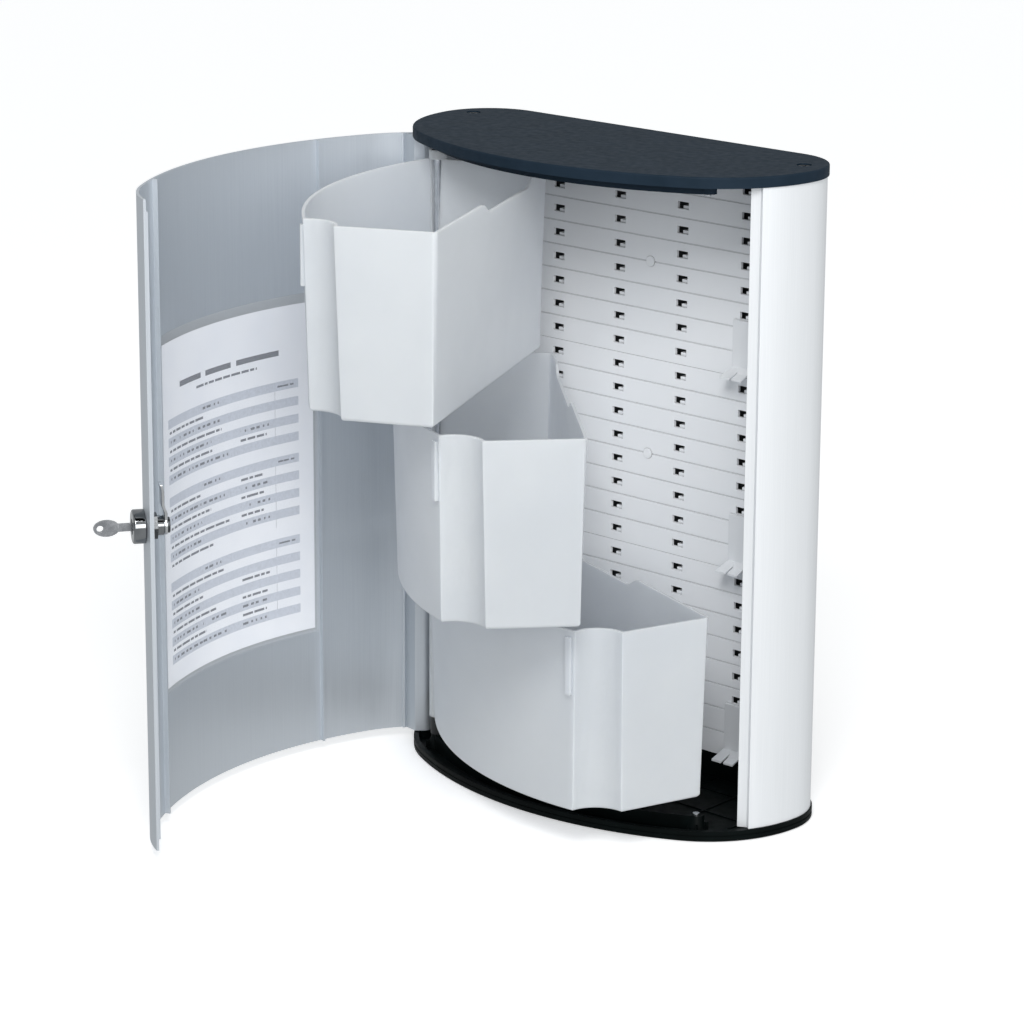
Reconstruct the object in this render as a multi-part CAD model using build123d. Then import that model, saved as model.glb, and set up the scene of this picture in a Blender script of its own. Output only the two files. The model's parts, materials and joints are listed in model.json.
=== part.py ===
from build123d import *
import os
from math import asin, atan, cos, degrees, radians, sin, sqrt

os.makedirs("parts", exist_ok=True)

# Overall size of the closed cabinet: X to the right, Y into the wall, Z up from the bottom face
WIDTH = 290.0
HEIGHT = 400.0
DEPTH = 130.0
FRONT_RADIUS = 225.0
CORNER_RADIUS = 75.0

# End caps
CAP_RIM_HEIGHT = 6.5
CAP_RIM_WIDTH = 3.2
CAP_PLATE = 2.5
CAP_EDGE_ROUND = 1.0
CAP_GROOVE_DEPTH = 0.5
CAP_GROOVE_HEIGHT = 0.8
CAP_GROOVE_LEVEL = 3.2
SKIRT_INSET = 11.5
SKIRT_WALL = 2.0
SKIRT_HEIGHT = 5.5
SKIRT_SIDE_INSET = 35.0
SKIRT_REAR_STEP = 18.8
FLOOR_RIB_WIDTH = 1.2
FLOOR_RIB_HEIGHT = 0.8
FLOOR_RIB_SPACING = 30.0
APRON_WALL = 2.0

# Screws that hold the caps on the side profiles
CAP_SCREW_INSET = 13.87
CAP_SCREW_ANGLE = 21.34
CAP_SCREW_RADIUS = 2.0
CAP_SCREW_LENGTH = 22.0
CAP_SCREW_BOSS = 5.6
SCREW_HOLE_GAP = 0.1
SCREW_HEAD_RADIUS = 3.8
SCREW_HEAD_HEIGHT = 1.9
SCREW_RECESS_RADIUS = 4.5
SCREW_RECESS_DEPTH = 2.6
CROSS_SLOT_WIDTH = 0.9
CROSS_SLOT_LENGTH = 4.4
CROSS_SLOT_DEPTH = 1.2

# Extruded aluminium skin of the side profiles and the door
SKIN_INSET = 1.0
SKIN = 1.6
DOOR_END_GAP = 0.6

# Right side profile and its jamb lip, angles measured round the corner from the widest point
RIGHT_JAMB_ANGLE = 29.0
JAMB_WALL = 1.5
LIP_STEP = 3.0
LIP_DROP = 6.0
LIP_REACH = 5.2
LIP_WALL = 1.3

# Left side profile
LEFT_JAMB_GAP = 0.8
LEFT_JAMB_DEPTH = 8.0

# Screw channel and back flange of the side profiles
CHANNEL_WALL = 2.1
CHANNEL_SLIT = 1.2
CHANNEL_RIB = 1.6
FLANGE_WALL = 1.6
WEB_STEP = 4.7
HOOK_REACH = 3.0
HOOK_WALL = 1.4
PANEL_FIT = 0.3

# Door hinge
PIN_ANGLE = 34.6
PIN_INSET = 5.8
PIN_RADIUS = 2.0
PIN_LENGTH = 16.0
PIN_SEAT = 4.2
BULLNOSE_RADIUS = 4.75
BUSH_RADIUS = 3.15
BUSH_LENGTH = 14.0
BUSH_FLANGE_RADIUS = 4.2
BUSH_FLANGE = 0.4
PIN_BOSS_RADIUS = 4.6
RUNNING_GAP = 0.05
SEAT_GAP = 0.02

# Door extrusion
DOOR_FREE_ANGLE = 29.5
TUBE_END_ANGLE = 39.5
TUBE_BLEND_ANGLE = 44.6
TUBE_CHANNEL_ANGLE = 41.0
TUBE_CHANNEL_RADIUS = 1.6
TUBE_CHANNEL_INSET = 5.2
TUBE_RIB_DEPTH = 1.5
TUBE_LAP = 0.2
DOOR_RIB_DEPTH = 3.0
DOOR_RIB_WALL = 1.4
LEFT_RIB_X = -71.0
RIGHT_RIB_X = 85.0
BEAD_WALL = 2.6
BEAD_WIDTH = 2.4
BEAD_CUT_BACK = 7.0

# Document pocket and its sheet
SHEET_WIDTH = 148.0
SHEET_HEIGHT = 210.0
SHEET_THICKNESS = 0.25
SHEET_BOTTOM = 83.0
FILM = 0.3
POCKET_CAVITY = 0.5
POCKET_MARGIN = 3.0
POCKET_SEAM = 1.4
POCKET_GAP = 0.1

# Lock, sizes along and across the cylinder axis
LOCK_ANGLE = 41.0
LOCK_HEIGHT = 200.0
ROSETTE_RADIUS = 10.0
ROSETTE_LENGTH = 7.0
ROSETTE_ROUND = 1.2
BODY_RADIUS = 5.9
BODY_LENGTH = 11.0
BODY_HOLE_GAP = 0.2
WASHER_RADIUS = 11.5
WASHER_DEPTH = 2.6
WASHER_THICKNESS = 1.4
NUT_FLATS = 14.0
NUT_THICKNESS = 3.4
PLUG_RADIUS = 4.5
PLUG_RECESS = 0.4
TANG_WIDTH = 5.0
HUB_GAP = 0.3
CAM_WALL = 1.8
CAM_HUB_RADIUS = 5.6
CAM_WIDTH = 8.6
CAM_LENGTH = 25.0
CAM_CRANK = 1.7
CAM_CRANK_START = 8.0
CAM_CRANK_END = 12.5
CAM_TIP_START = 21.0
CAM_TIP_BEND = 0.9
CAM_SCREW_HEAD_RADIUS = 4.6
CAM_SCREW_HEAD = 1.5
CAM_SCREW_RADIUS = 1.5
CAM_SCREW_DEPTH = 4.0

# Key
KEY_THICKNESS = 1.5
KEY_BLADE_HEIGHT = 6.0
KEY_BLADE_DEPTH = 14.0
KEY_NECK_HEIGHT = 4.6
KEY_NECK_LENGTH = 7.5
KEY_BOW_LENGTH = 15.0
KEY_BOW_HEIGHT = 9.5
KEY_BOW_THICKNESS = 2.2
KEY_HOLE_RADIUS = 2.0
KEYWAY_GAP = 0.08

# Tray rod, its bosses and bushes
ROD_SIDE_INSET = 39.5
ROD_FRONT_INSET = 43.0
ROD_RADIUS = 2.0
ROD_SEAT = 1.2
BOSS_HEIGHT = 9.5
BOSS_ROOT_RADIUS = 6.5
BOSS_TIP_RADIUS = 3.6
BOSS_FIN = 1.2
BOSS_FIN_REACH = 7.5
SPACER_RADIUS = 4.6
SPARE_PIN_PROUD = 1.0
TRAY_BUSH_LENGTH = 5.0

# Swing trays, outline at the rim of a tray that is swung in
TRAY_INSET = 10.0
TRAY_BACK_Y = -15.5
TRAY_RIGHT_INSET = 38.5
TRAY_RIDGE_DEPTH = 21.73
TRAY_RIDGE_ANGLE = 44.5
TRAY_FRONT_INSET = 51.0
TRAY_LEFT_INSET = 45.0
FLUTE_DEPTH = 7.0
TRAY_FOOT_STEP = 9.2
TRAY_RIM_STEP = 0.3
TRAY_DRAFT = 3.0
TRAY_WALL = 1.8
TRAY_CORNER = 3.0
TRAY_FOOT_ROUND = 2.0
SLEEVE_RADIUS = 5.3
SLEEVE_BORE = 3.8
SLEEVE_STEP = 5.4
SLEEVE_GAP = 0.3
NOTCH_DEPTH = 6.0
NOTCH_LEFT_START = -74.0
NOTCH_LEFT_END = -60.0
NOTCH_RIGHT_START = 9.0
NOTCH_RIGHT_END = 26.0
GRIP_HEIGHT = 35.0
GRIP_WIDTH = 4.0
GRIP_PROUD = 1.4
GRIP_DROP = 4.0

# Back panel sections, their slots and the wall screw holes
PANEL_FRONT_Y = -10.0
PANEL_WALL = 2.0
PANEL_FRAME = 1.8
LINER_INSET = 0.2
LINER = 0.8
PANEL_LOWEST = 18.2
SECTION_GAP = 0.2
SECTION_ROWS = 8
COLUMN_MARGIN = 37.485
SLOT_WIDTH = 8.6
SLOT_HEIGHT = 4.5
SLOT_TAB_WIDTH = 5.0
SLOT_TAB_HEIGHT = 2.0
SLOT_TAB_SET_BACK = 1.2
SLOT_TAB_DEPTH = 4.0
ROW_GROOVE_WIDTH = 0.8
ROW_GROOVE_DEPTH = 0.4
WALL_SCREW_RADIUS = 2.75
WALL_BOSS_RADIUS = 6.0
HOLE_CAP_RADIUS = 3.2
HOLE_CAP_RECESS = 1.5
HOLE_CAP_PROUD = 0.5
HOLE_CAP_GAP = 0.1

# Spring catches under the trays
CATCH_WIDTH = 16.5
CATCH_WALL = 1.8
CATCH_FOOT = 3.0
CATCH_TOP = 35.0
TONGUE_WALL = 1.1
TONGUE_WIDTH = 7.4
TONGUE_START = 6.0
TONGUE_REACH = 12.0
TONGUE_END = 1.9
RIDGE_START = 3.0
RIDGE_CREST = 4.6
RIDGE_END = 6.7
RIDGE_RISE = 2.0
PEG_HEIGHT = 1.6
PEG_DEPTH = 3.0
PEG_SIDE_GAP = 0.4

# The pose of the photograph: the door's opening and the swing of each tray, in degrees
DOOR_OPEN = 83.7
TRAY_SWING = {"lower": 20.2, "middle": 43.3, "upper": 65.6}

# How far a cutting shape runs past the surface it cuts
PAST = 1.0

# Geometry that follows from the sizes above
CORNER_X = WIDTH / 2 - CORNER_RADIUS
FRONT_CENTRE_Y = FRONT_RADIUS - DEPTH
CORNER_Y = FRONT_CENTRE_Y - sqrt((FRONT_RADIUS - CORNER_RADIUS) ** 2 - CORNER_X**2)
TANGENT_ANGLE = degrees(asin(CORNER_X / (FRONT_RADIUS - CORNER_RADIUS)))
REAR_RADIUS = -CORNER_Y
REAR_X = WIDTH / 2 - REAR_RADIUS
SKIN_OUTER = CORNER_RADIUS - SKIN_INSET
SKIN_INNER = SKIN_OUTER - SKIN
SKIN_DEGREE = degrees(1 / SKIN_OUTER)
FAR = 3 * WIDTH
LEVELS = tuple(TRAY_SWING)
SECTION_HEIGHT = (HEIGHT - 2 * PANEL_LOWEST) / len(LEVELS)
ORIGIN_Z = HEIGHT / 2
WEB_X = REAR_X + WEB_STEP
PANEL_HALF_WIDTH = WEB_X - PANEL_FIT
OUTER_COLUMN = PANEL_HALF_WIDTH - COLUMN_MARGIN
SLOT_COLUMNS = (-OUTER_COLUMN, -OUTER_COLUMN / 3, OUTER_COLUMN / 3, OUTER_COLUMN)
CATCH_LEFT_X = OUTER_COLUMN - CATCH_WIDTH / 2
CAP_SCREW_X = REAR_X + (REAR_RADIUS - CAP_SCREW_INSET) * cos(radians(CAP_SCREW_ANGLE))
CAP_SCREW_Y = CORNER_Y + (REAR_RADIUS - CAP_SCREW_INSET) * sin(radians(CAP_SCREW_ANGLE))
ROD_X = ROD_SIDE_INSET - WIDTH / 2
ROD_Y = ROD_FRONT_INSET - DEPTH
TRAY_RIGHT_X = WIDTH / 2 - TRAY_RIGHT_INSET
TRAY_FRONT_X = WIDTH / 2 - TRAY_FRONT_INSET
TRAY_LEFT_X = TRAY_LEFT_INSET - WIDTH / 2
TRAY_HEIGHT = SECTION_HEIGHT - TRAY_FOOT_STEP - TRAY_RIM_STEP


def corner_point(radius, angle, side=1):
    """A plan point at a radius about a front corner's centre, side 1 right or -1 left."""
    x = CORNER_X + radius * cos(radians(angle))
    y = CORNER_Y - radius * sin(radians(angle))
    return (side * x, y)


PIN = corner_point(CORNER_RADIUS - PIN_INSET, PIN_ANGLE, -1)
ROD = (ROD_X, ROD_Y)


def outline(inset):
    """The cabinet's plan outline, set in evenly: front arc, two corners, two rear corners, flat back."""
    front = FRONT_RADIUS - inset
    corner = CORNER_RADIUS - inset
    rear = REAR_RADIUS - inset
    corner_turn = 90 - TANGENT_ANGLE
    return make_face(
        [
            CenterArc((0, FRONT_CENTRE_Y), front, -90 - TANGENT_ANGLE, 2 * TANGENT_ANGLE),
            CenterArc((CORNER_X, CORNER_Y), corner, -corner_turn, corner_turn),
            CenterArc((REAR_X, CORNER_Y), rear, 0, 90),
            Line((REAR_X, -inset), (-REAR_X, -inset)),
            CenterArc((-REAR_X, CORNER_Y), rear, 90, 90),
            CenterArc((-CORNER_X, CORNER_Y), corner, 180, corner_turn),
        ]
    )


def ring(inset, wall):
    """A band that follows the cabinet's outline."""
    return outline(inset) - outline(inset + wall)


def block(x0, x1, y0, y1, z0, z1):
    """A box between two corners."""
    return Pos((x0 + x1) / 2, (y0 + y1) / 2, (z0 + z1) / 2) * Box(x1 - x0, y1 - y0, z1 - z0)


def plan_block(x0, x1, y0, y1):
    """A rectangle in plan between two corners."""
    return Pos((x0 + x1) / 2, (y0 + y1) / 2) * Rectangle(x1 - x0, y1 - y0)


def polygon(*points):
    """A face with straight sides whose upper side is its front, whichever way the points run."""
    return make_face(Polyline(*points, close=True))


def prism(sketch, low, high):
    """A plan sketch pulled up between two heights."""
    return Pos(0, 0, low) * extrude(sketch, amount=high - low, dir=(0, 0, 1))


def upright(centre, radius, low, high):
    """An upright cylinder."""
    return Pos(centre[0], centre[1], (low + high) / 2) * Cylinder(radius, high - low)


def along_y(x, z, radius, front, back):
    """A cylinder that points into the wall."""
    return Pos(x, (front + back) / 2, z) * Rot(90, 0, 0) * Cylinder(radius, back - front)


def mirrored(shape):
    """The same piece at the other end of the cabinet."""
    return mirror(shape, about=Plane.XY.offset(HEIGHT / 2))


def write(name, shape):
    """Writes a piece with the frame's origin at the middle wall screw, on the wall."""
    export_step(Pos(0, 0, -ORIGIN_Z) * shape, f"parts/{name}.step")


def solids(shapes):
    """One group from several separate solids."""
    return Compound(children=[solid for shape in shapes for solid in shape.solids()])


def rod_boss(x):
    """A funnel-shaped boss with four fins that takes the end of the tray rod."""
    top = CAP_PLATE + BOSS_HEIGHT
    middle = (CAP_PLATE + top) / 2
    boss = Pos(x, ROD_Y, middle) * Cone(BOSS_ROOT_RADIUS, BOSS_TIP_RADIUS, BOSS_HEIGHT)
    fins = [
        Pos(x, ROD_Y, CAP_PLATE + BOSS_HEIGHT / 4)
        * Rot(0, 0, turn)
        * Box(2 * BOSS_FIN_REACH, BOSS_FIN, BOSS_HEIGHT / 2)
        for turn in (45, 135)
    ]
    return boss + fins


def floor_ribs():
    """Low stiffening ribs inside the cap."""
    inner = outline(SKIRT_INSET + SKIRT_WALL)
    count = int(WIDTH / 2 / FLOOR_RIB_SPACING)
    half = FLOOR_RIB_WIDTH / 2
    lines = []
    for step in range(-count, count + 1):
        x = step * FLOOR_RIB_SPACING
        lines.append(plan_block(x - half, x + half, -DEPTH, 0))
    for step in range(1, int(DEPTH / FLOOR_RIB_SPACING) + 1):
        y = -step * FLOOR_RIB_SPACING
        lines.append(plan_block(-WIDTH / 2, WIDTH / 2, y - half, y + half))
    grid = Sketch() + lines
    field = inner & plan_block(-WIDTH / 2, WIDTH / 2, -DEPTH, PANEL_FRONT_Y)
    return prism(grid & field, CAP_PLATE, CAP_PLATE + FLOOR_RIB_HEIGHT)


def cap(with_groove, with_apron):
    """An end cap, drawn as the bottom one: plate, rim, front skirt, bosses and screw seats."""
    plate = prism(outline(0), 0, CAP_PLATE)
    rim = prism(ring(0, CAP_RIM_WIDTH), 0, CAP_RIM_HEIGHT)
    shell = plate + rim
    shell = fillet(shell.edges().group_by(Axis.Z)[0], CAP_EDGE_ROUND)
    skirt_half = WIDTH / 2 - SKIRT_SIDE_INSET
    skirt_zone = plan_block(-skirt_half, skirt_half, -DEPTH, CORNER_Y - SKIRT_REAR_STEP)
    skirt_top = CAP_RIM_HEIGHT + SKIRT_HEIGHT
    shell += prism(ring(SKIRT_INSET, SKIRT_WALL) & skirt_zone, CAP_PLATE, skirt_top)
    shell += floor_ribs()
    shell += rod_boss(ROD_X)
    shell += rod_boss(-ROD_X)
    inside = outline(CAP_RIM_WIDTH / 2)
    for x in (-CAP_SCREW_X, CAP_SCREW_X):
        boss = inside & (Pos(x, CAP_SCREW_Y) * Circle(CAP_SCREW_BOSS))
        shell += prism(boss, CAP_PLATE, CAP_RIM_HEIGHT)
    pin_boss = inside & (Pos(*PIN) * Circle(PIN_BOSS_RADIUS))
    shell += prism(pin_boss, CAP_PLATE, CAP_RIM_HEIGHT)
    if with_apron:
        apron_top = PANEL_LOWEST - SECTION_GAP
        shell += block(-REAR_X, REAR_X, PANEL_FRONT_Y, PANEL_FRONT_Y + APRON_WALL, CAP_PLATE, apron_top)
    for x in (ROD_X, -ROD_X):
        shell -= upright((x, ROD_Y), ROD_RADIUS + SEAT_GAP, ROD_SEAT, CAP_PLATE + BOSS_HEIGHT + PAST)
    for x in (-CAP_SCREW_X, CAP_SCREW_X):
        hole_radius = CAP_SCREW_RADIUS + SCREW_HOLE_GAP
        shell -= upright((x, CAP_SCREW_Y), hole_radius, -PAST, CAP_RIM_HEIGHT + PAST)
        shell -= upright((x, CAP_SCREW_Y), SCREW_RECESS_RADIUS, -PAST, SCREW_RECESS_DEPTH)
    shell -= upright(PIN, PIN_RADIUS + SEAT_GAP, CAP_RIM_HEIGHT - PIN_SEAT, CAP_RIM_HEIGHT + PAST)
    if with_groove:
        groove_top = CAP_GROOVE_LEVEL + CAP_GROOVE_HEIGHT
        shell -= prism(ring(-PAST, PAST + CAP_GROOVE_DEPTH), CAP_GROOVE_LEVEL, groove_top)
    return shell


def cap_screw(x):
    """A cap screw with a cross recess, drawn at the bottom cap."""
    centre = (x, CAP_SCREW_Y)
    seat = SCREW_RECESS_DEPTH
    head = upright(centre, SCREW_HEAD_RADIUS, seat - SCREW_HEAD_HEIGHT, seat)
    shank = upright(centre, CAP_SCREW_RADIUS, seat, seat + CAP_SCREW_LENGTH)
    slot_z = seat - SCREW_HEAD_HEIGHT
    screw = head + shank
    for turn in (0, 90):
        slot = Box(CROSS_SLOT_LENGTH, CROSS_SLOT_WIDTH, 2 * CROSS_SLOT_DEPTH)
        screw -= Pos(x, CAP_SCREW_Y, slot_z) * Rot(0, 0, turn) * slot
    return screw


def screw_channel():
    """The round channel of the right profile that takes the cap screw, tied to the skin by a rib."""
    outer = CAP_SCREW_RADIUS + RUNNING_GAP + CHANNEL_WALL
    dx = CAP_SCREW_X - REAR_X
    dy = CAP_SCREW_Y - CORNER_Y
    distance = sqrt(dx**2 + dy**2)
    reach = REAR_RADIUS - SKIN_INSET - SKIN / 2 - distance
    turn = degrees(atan(dy / dx))
    rib = Rot(0, 0, turn) * plan_block(0, reach, -CHANNEL_RIB / 2, CHANNEL_RIB / 2)
    slit = Rot(0, 0, turn) * plan_block(-2 * outer, 0, -CHANNEL_SLIT / 2, CHANNEL_SLIT / 2)
    section = Circle(outer) + rib - slit - Circle(CAP_SCREW_RADIUS + RUNNING_GAP)
    return Pos(CAP_SCREW_X, CAP_SCREW_Y) * section


def side_section(jamb_angle):
    """The right side profile's plan without its jamb: skin, back flange, panel hook, screw channel."""
    far_point = (CORNER_X + FAR * cos(radians(jamb_angle)), CORNER_Y - FAR * sin(radians(jamb_angle)))
    zone = polygon((CORNER_X, CORNER_Y), far_point, (FAR, FAR), (WEB_X, FAR), (WEB_X, CORNER_Y))
    web = plan_block(WEB_X, WEB_X + FLANGE_WALL, hook_front_y(), -SKIN_INSET)
    hook = plan_block(WEB_X - HOOK_REACH, WEB_X + FLANGE_WALL, hook_front_y(), hook_front_y() + HOOK_WALL)
    return (ring(SKIN_INSET, SKIN) & zone) + web + hook + screw_channel()


def hook_front_y():
    """The front face of the hook that holds the back panel's edge."""
    return PANEL_FRONT_Y - PANEL_FIT - HOOK_WALL


def jamb_lip():
    """The plan of the right jamb: end wall, groove and slanted lip for the lock cam."""
    back = RIGHT_JAMB_ANGLE - JAMB_WALL * SKIN_DEGREE
    tip = RIGHT_JAMB_ANGLE + LIP_REACH * SKIN_DEGREE
    lip = polygon(
        corner_point(FAR, back),
        corner_point(FAR, RIGHT_JAMB_ANGLE),
        corner_point(SKIN_OUTER - LIP_STEP, RIGHT_JAMB_ANGLE),
        corner_point(SKIN_OUTER - LIP_DROP, tip),
        corner_point(SKIN_OUTER - LIP_DROP - LIP_WALL, tip - LIP_WALL / 2 * SKIN_DEGREE),
        corner_point(SKIN_OUTER - LIP_STEP - LIP_WALL, back),
    )
    return lip & outline(SKIN_INSET)


def right_side_profile():
    section = side_section(RIGHT_JAMB_ANGLE) + jamb_lip()
    return prism(section, CAP_RIM_HEIGHT, HEIGHT - CAP_RIM_HEIGHT)


def left_side_profile():
    clear = BULLNOSE_RADIUS + LEFT_JAMB_GAP
    angle = PIN_ANGLE - degrees(asin(clear / (CORNER_RADIUS - PIN_INSET)))
    back = angle - JAMB_WALL * SKIN_DEGREE
    wall = polygon(
        corner_point(FAR, back),
        corner_point(FAR, angle),
        corner_point(SKIN_OUTER - LEFT_JAMB_DEPTH, angle),
        corner_point(SKIN_OUTER - LEFT_JAMB_DEPTH, back),
    )
    section = mirror(side_section(angle) + (wall & outline(SKIN_INSET)), about=Plane.YZ)
    return prism(section, CAP_RIM_HEIGHT, HEIGHT - CAP_RIM_HEIGHT)


def section_bottom(number):
    """The height of a back panel section's lower edge, counted from the bottom."""
    return PANEL_LOWEST + number * SECTION_HEIGHT


def section_top(number):
    """The height of a section's upper edge: the last one runs on up to the top cap."""
    if number == len(LEVELS) - 1:
        return HEIGHT - CAP_RIM_HEIGHT - SECTION_GAP
    return section_bottom(number + 1) - SECTION_GAP


def row_height(number, row):
    """The height of a slot row's middle."""
    return section_bottom(number) + (row + 0.5) * SECTION_HEIGHT / SECTION_ROWS


def slot(x, z):
    """One slot through the panel's front wall."""
    front = PANEL_FRONT_Y - PAST
    back = PANEL_FRONT_Y + PANEL_WALL + PAST
    half = SLOT_WIDTH / 2
    return block(x - half, x + half, front, back, z - SLOT_HEIGHT / 2, z + SLOT_HEIGHT / 2)


def slot_tab(x, z):
    """The small ledge in the lower right of a slot, behind the panel's front face."""
    right = x + SLOT_WIDTH / 2
    front = PANEL_FRONT_Y + SLOT_TAB_SET_BACK
    bottom = z - SLOT_HEIGHT / 2
    return block(
        right - SLOT_TAB_WIDTH, right, front, front + SLOT_TAB_DEPTH, bottom, bottom + SLOT_TAB_HEIGHT
    )


def back_panel(number):
    """One moulded section: slotted front wall, frame to the wall, screw boss, grooves between rows."""
    half = PANEL_HALF_WIDTH
    low = section_bottom(number)
    high = section_top(number)
    inner = half - PANEL_FRAME
    back_of_wall = PANEL_FRONT_Y + PANEL_WALL
    panel = block(-half, half, PANEL_FRONT_Y, 0, low, high)
    panel -= block(-inner, inner, back_of_wall, PAST, low + PANEL_FRAME, high - PANEL_FRAME)
    middle = low + SECTION_HEIGHT / 2
    panel += along_y(0, middle, WALL_BOSS_RADIUS, back_of_wall, 0)
    places = [(x, row_height(number, row)) for x in SLOT_COLUMNS for row in range(SECTION_ROWS)]
    panel -= [slot(x, z) for x, z in places]
    row_pitch = SECTION_HEIGHT / SECTION_ROWS
    groove_count = int((high - low) / row_pitch)
    panel -= [row_groove(half, low + row * row_pitch) for row in range(1, groove_count + 1)]
    panel -= along_y(0, middle, WALL_SCREW_RADIUS, PANEL_FRONT_Y, PAST)
    recess_back = PANEL_FRONT_Y + HOLE_CAP_RECESS
    panel -= along_y(0, middle, HOLE_CAP_RADIUS + HOLE_CAP_GAP, PANEL_FRONT_Y - PAST, recess_back)
    return panel + [slot_tab(x, z) for x, z in places]


def back_liner(number):
    """The thin dark sheet that closes a section's hollow back against the wall."""
    half = PANEL_HALF_WIDTH - PANEL_FRAME - RUNNING_GAP
    low = section_bottom(number) + PANEL_FRAME + RUNNING_GAP
    high = section_top(number) - PANEL_FRAME - RUNNING_GAP
    liner = block(-half, half, -LINER_INSET - LINER, -LINER_INSET, low, high)
    middle = section_bottom(number) + SECTION_HEIGHT / 2
    return liner - along_y(0, middle, WALL_BOSS_RADIUS + RUNNING_GAP, PANEL_FRONT_Y, 0)


def row_groove(half, z):
    """The shallow groove between two slot rows."""
    back = PANEL_FRONT_Y + ROW_GROOVE_DEPTH
    edge = half + PAST
    low = z - ROW_GROOVE_WIDTH / 2
    return block(-edge, edge, PANEL_FRONT_Y - PAST, back, low, low + ROW_GROOVE_WIDTH)


def hole_cap(number):
    """A round disc that covers a wall screw."""
    middle = section_bottom(number) + SECTION_HEIGHT / 2
    front = PANEL_FRONT_Y - HOLE_CAP_PROUD
    disc = along_y(0, middle, HOLE_CAP_RADIUS, front, PANEL_FRONT_Y + HOLE_CAP_RECESS - SEAT_GAP)
    return fillet(disc.edges().group_by(Axis.Y)[0], HOLE_CAP_PROUD / 2)


def tray_catch(number):
    """A spring catch: plate hooked into two slots, a plain tongue and a ridged one beside it."""
    base = section_bottom(number)
    left = CATCH_LEFT_X
    right = CATCH_LEFT_X + CATCH_WIDTH
    front = PANEL_FRONT_Y - CATCH_WALL
    catch = block(left, right, front, PANEL_FRONT_Y, base + CATCH_FOOT, base + CATCH_TOP)
    start = (front + CATCH_WALL / 2, base + TONGUE_START)
    end = (front - TONGUE_REACH, base + TONGUE_END)
    foot = (front - RIDGE_START, base + TONGUE_START - RIDGE_RISE / 2)
    crest = (front - RIDGE_CREST, base + TONGUE_START + RIDGE_RISE)
    dip = (front - RIDGE_END, base + TONGUE_START - RIDGE_RISE)
    catch += tongue([start, end], left)
    catch += tongue([start, foot, crest, dip, end], right - TONGUE_WIDTH)
    for row in range(2):
        z = row_height(number, row) + SLOT_HEIGHT / 2 - PEG_SIDE_GAP
        half = SLOT_WIDTH / 2 - PEG_SIDE_GAP
        peg_back = PANEL_FRONT_Y + PEG_DEPTH
        catch += block(OUTER_COLUMN - half, OUTER_COLUMN + half, PANEL_FRONT_Y, peg_back, z - PEG_HEIGHT, z)
    return catch


def tongue(points, x):
    """A strip of even thickness whose upper side follows points in the Y-Z plane."""
    lower = [(y, z - TONGUE_WALL) for y, z in reversed(points)]
    side = Plane(origin=(x, 0, 0), x_dir=(0, 1, 0), z_dir=(1, 0, 0))
    return extrude(side * polygon(*points, *lower), amount=TONGUE_WIDTH, dir=(1, 0, 0))


def hinge_tube():
    """The door's hinge edge in plan: round nose about the pin, thick neck, blend into the skin."""
    inner = CORNER_RADIUS - PIN_INSET - BULLNOSE_RADIUS
    rib_end = TUBE_BLEND_ANGLE + DOOR_RIB_WALL * SKIN_DEGREE
    neck = polygon(
        corner_point(inner, PIN_ANGLE, -1),
        corner_point(FAR, PIN_ANGLE, -1),
        corner_point(FAR, rib_end, -1),
        corner_point(SKIN_INNER - TUBE_RIB_DEPTH, rib_end, -1),
        corner_point(SKIN_INNER - TUBE_RIB_DEPTH, TUBE_BLEND_ANGLE, -1),
        corner_point(SKIN_INNER - TUBE_LAP, TUBE_BLEND_ANGLE - SKIN_DEGREE, -1),
        corner_point(inner, TUBE_END_ANGLE, -1),
    )
    channel = corner_point(CORNER_RADIUS - TUBE_CHANNEL_INSET, TUBE_CHANNEL_ANGLE, -1)
    solid = (neck & outline(SKIN_INSET)) + Pos(*PIN) * Circle(BULLNOSE_RADIUS)
    return solid - Pos(*channel) * Circle(TUBE_CHANNEL_RADIUS)


def front_rib(x):
    """A low rib inside the door's front arc."""
    radius = FRONT_RADIUS - SKIN_INSET - SKIN
    turn = degrees(asin(x / radius))
    rib = plan_block(-DOOR_RIB_WALL / 2, DOOR_RIB_WALL / 2, -radius - SKIN / 2, -radius + DOOR_RIB_DEPTH)
    return Pos(0, FRONT_CENTRE_Y) * Rot(0, 0, turn) * rib


def lock_plane():
    """The lock's own axes on the closed door: Z out of the door, Y up, X towards the jamb."""
    angle = radians(LOCK_ANGLE)
    point = corner_point(SKIN_OUTER, LOCK_ANGLE)
    return Plane(
        origin=(point[0], point[1], LOCK_HEIGHT),
        x_dir=(sin(angle), cos(angle), 0),
        z_dir=(cos(angle), -sin(angle), 0),
    )


def on_lock(shape):
    """Moves a lock piece from the lock's own axes to the closed door."""
    return lock_plane().location * shape


def open_door(shape):
    """Turns a closed door's piece about the hinge pin to the photographed opening."""
    pin = Pos(*PIN, 0)
    return pin * Rot(0, 0, -DOOR_OPEN) * pin.inverse() * shape


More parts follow.
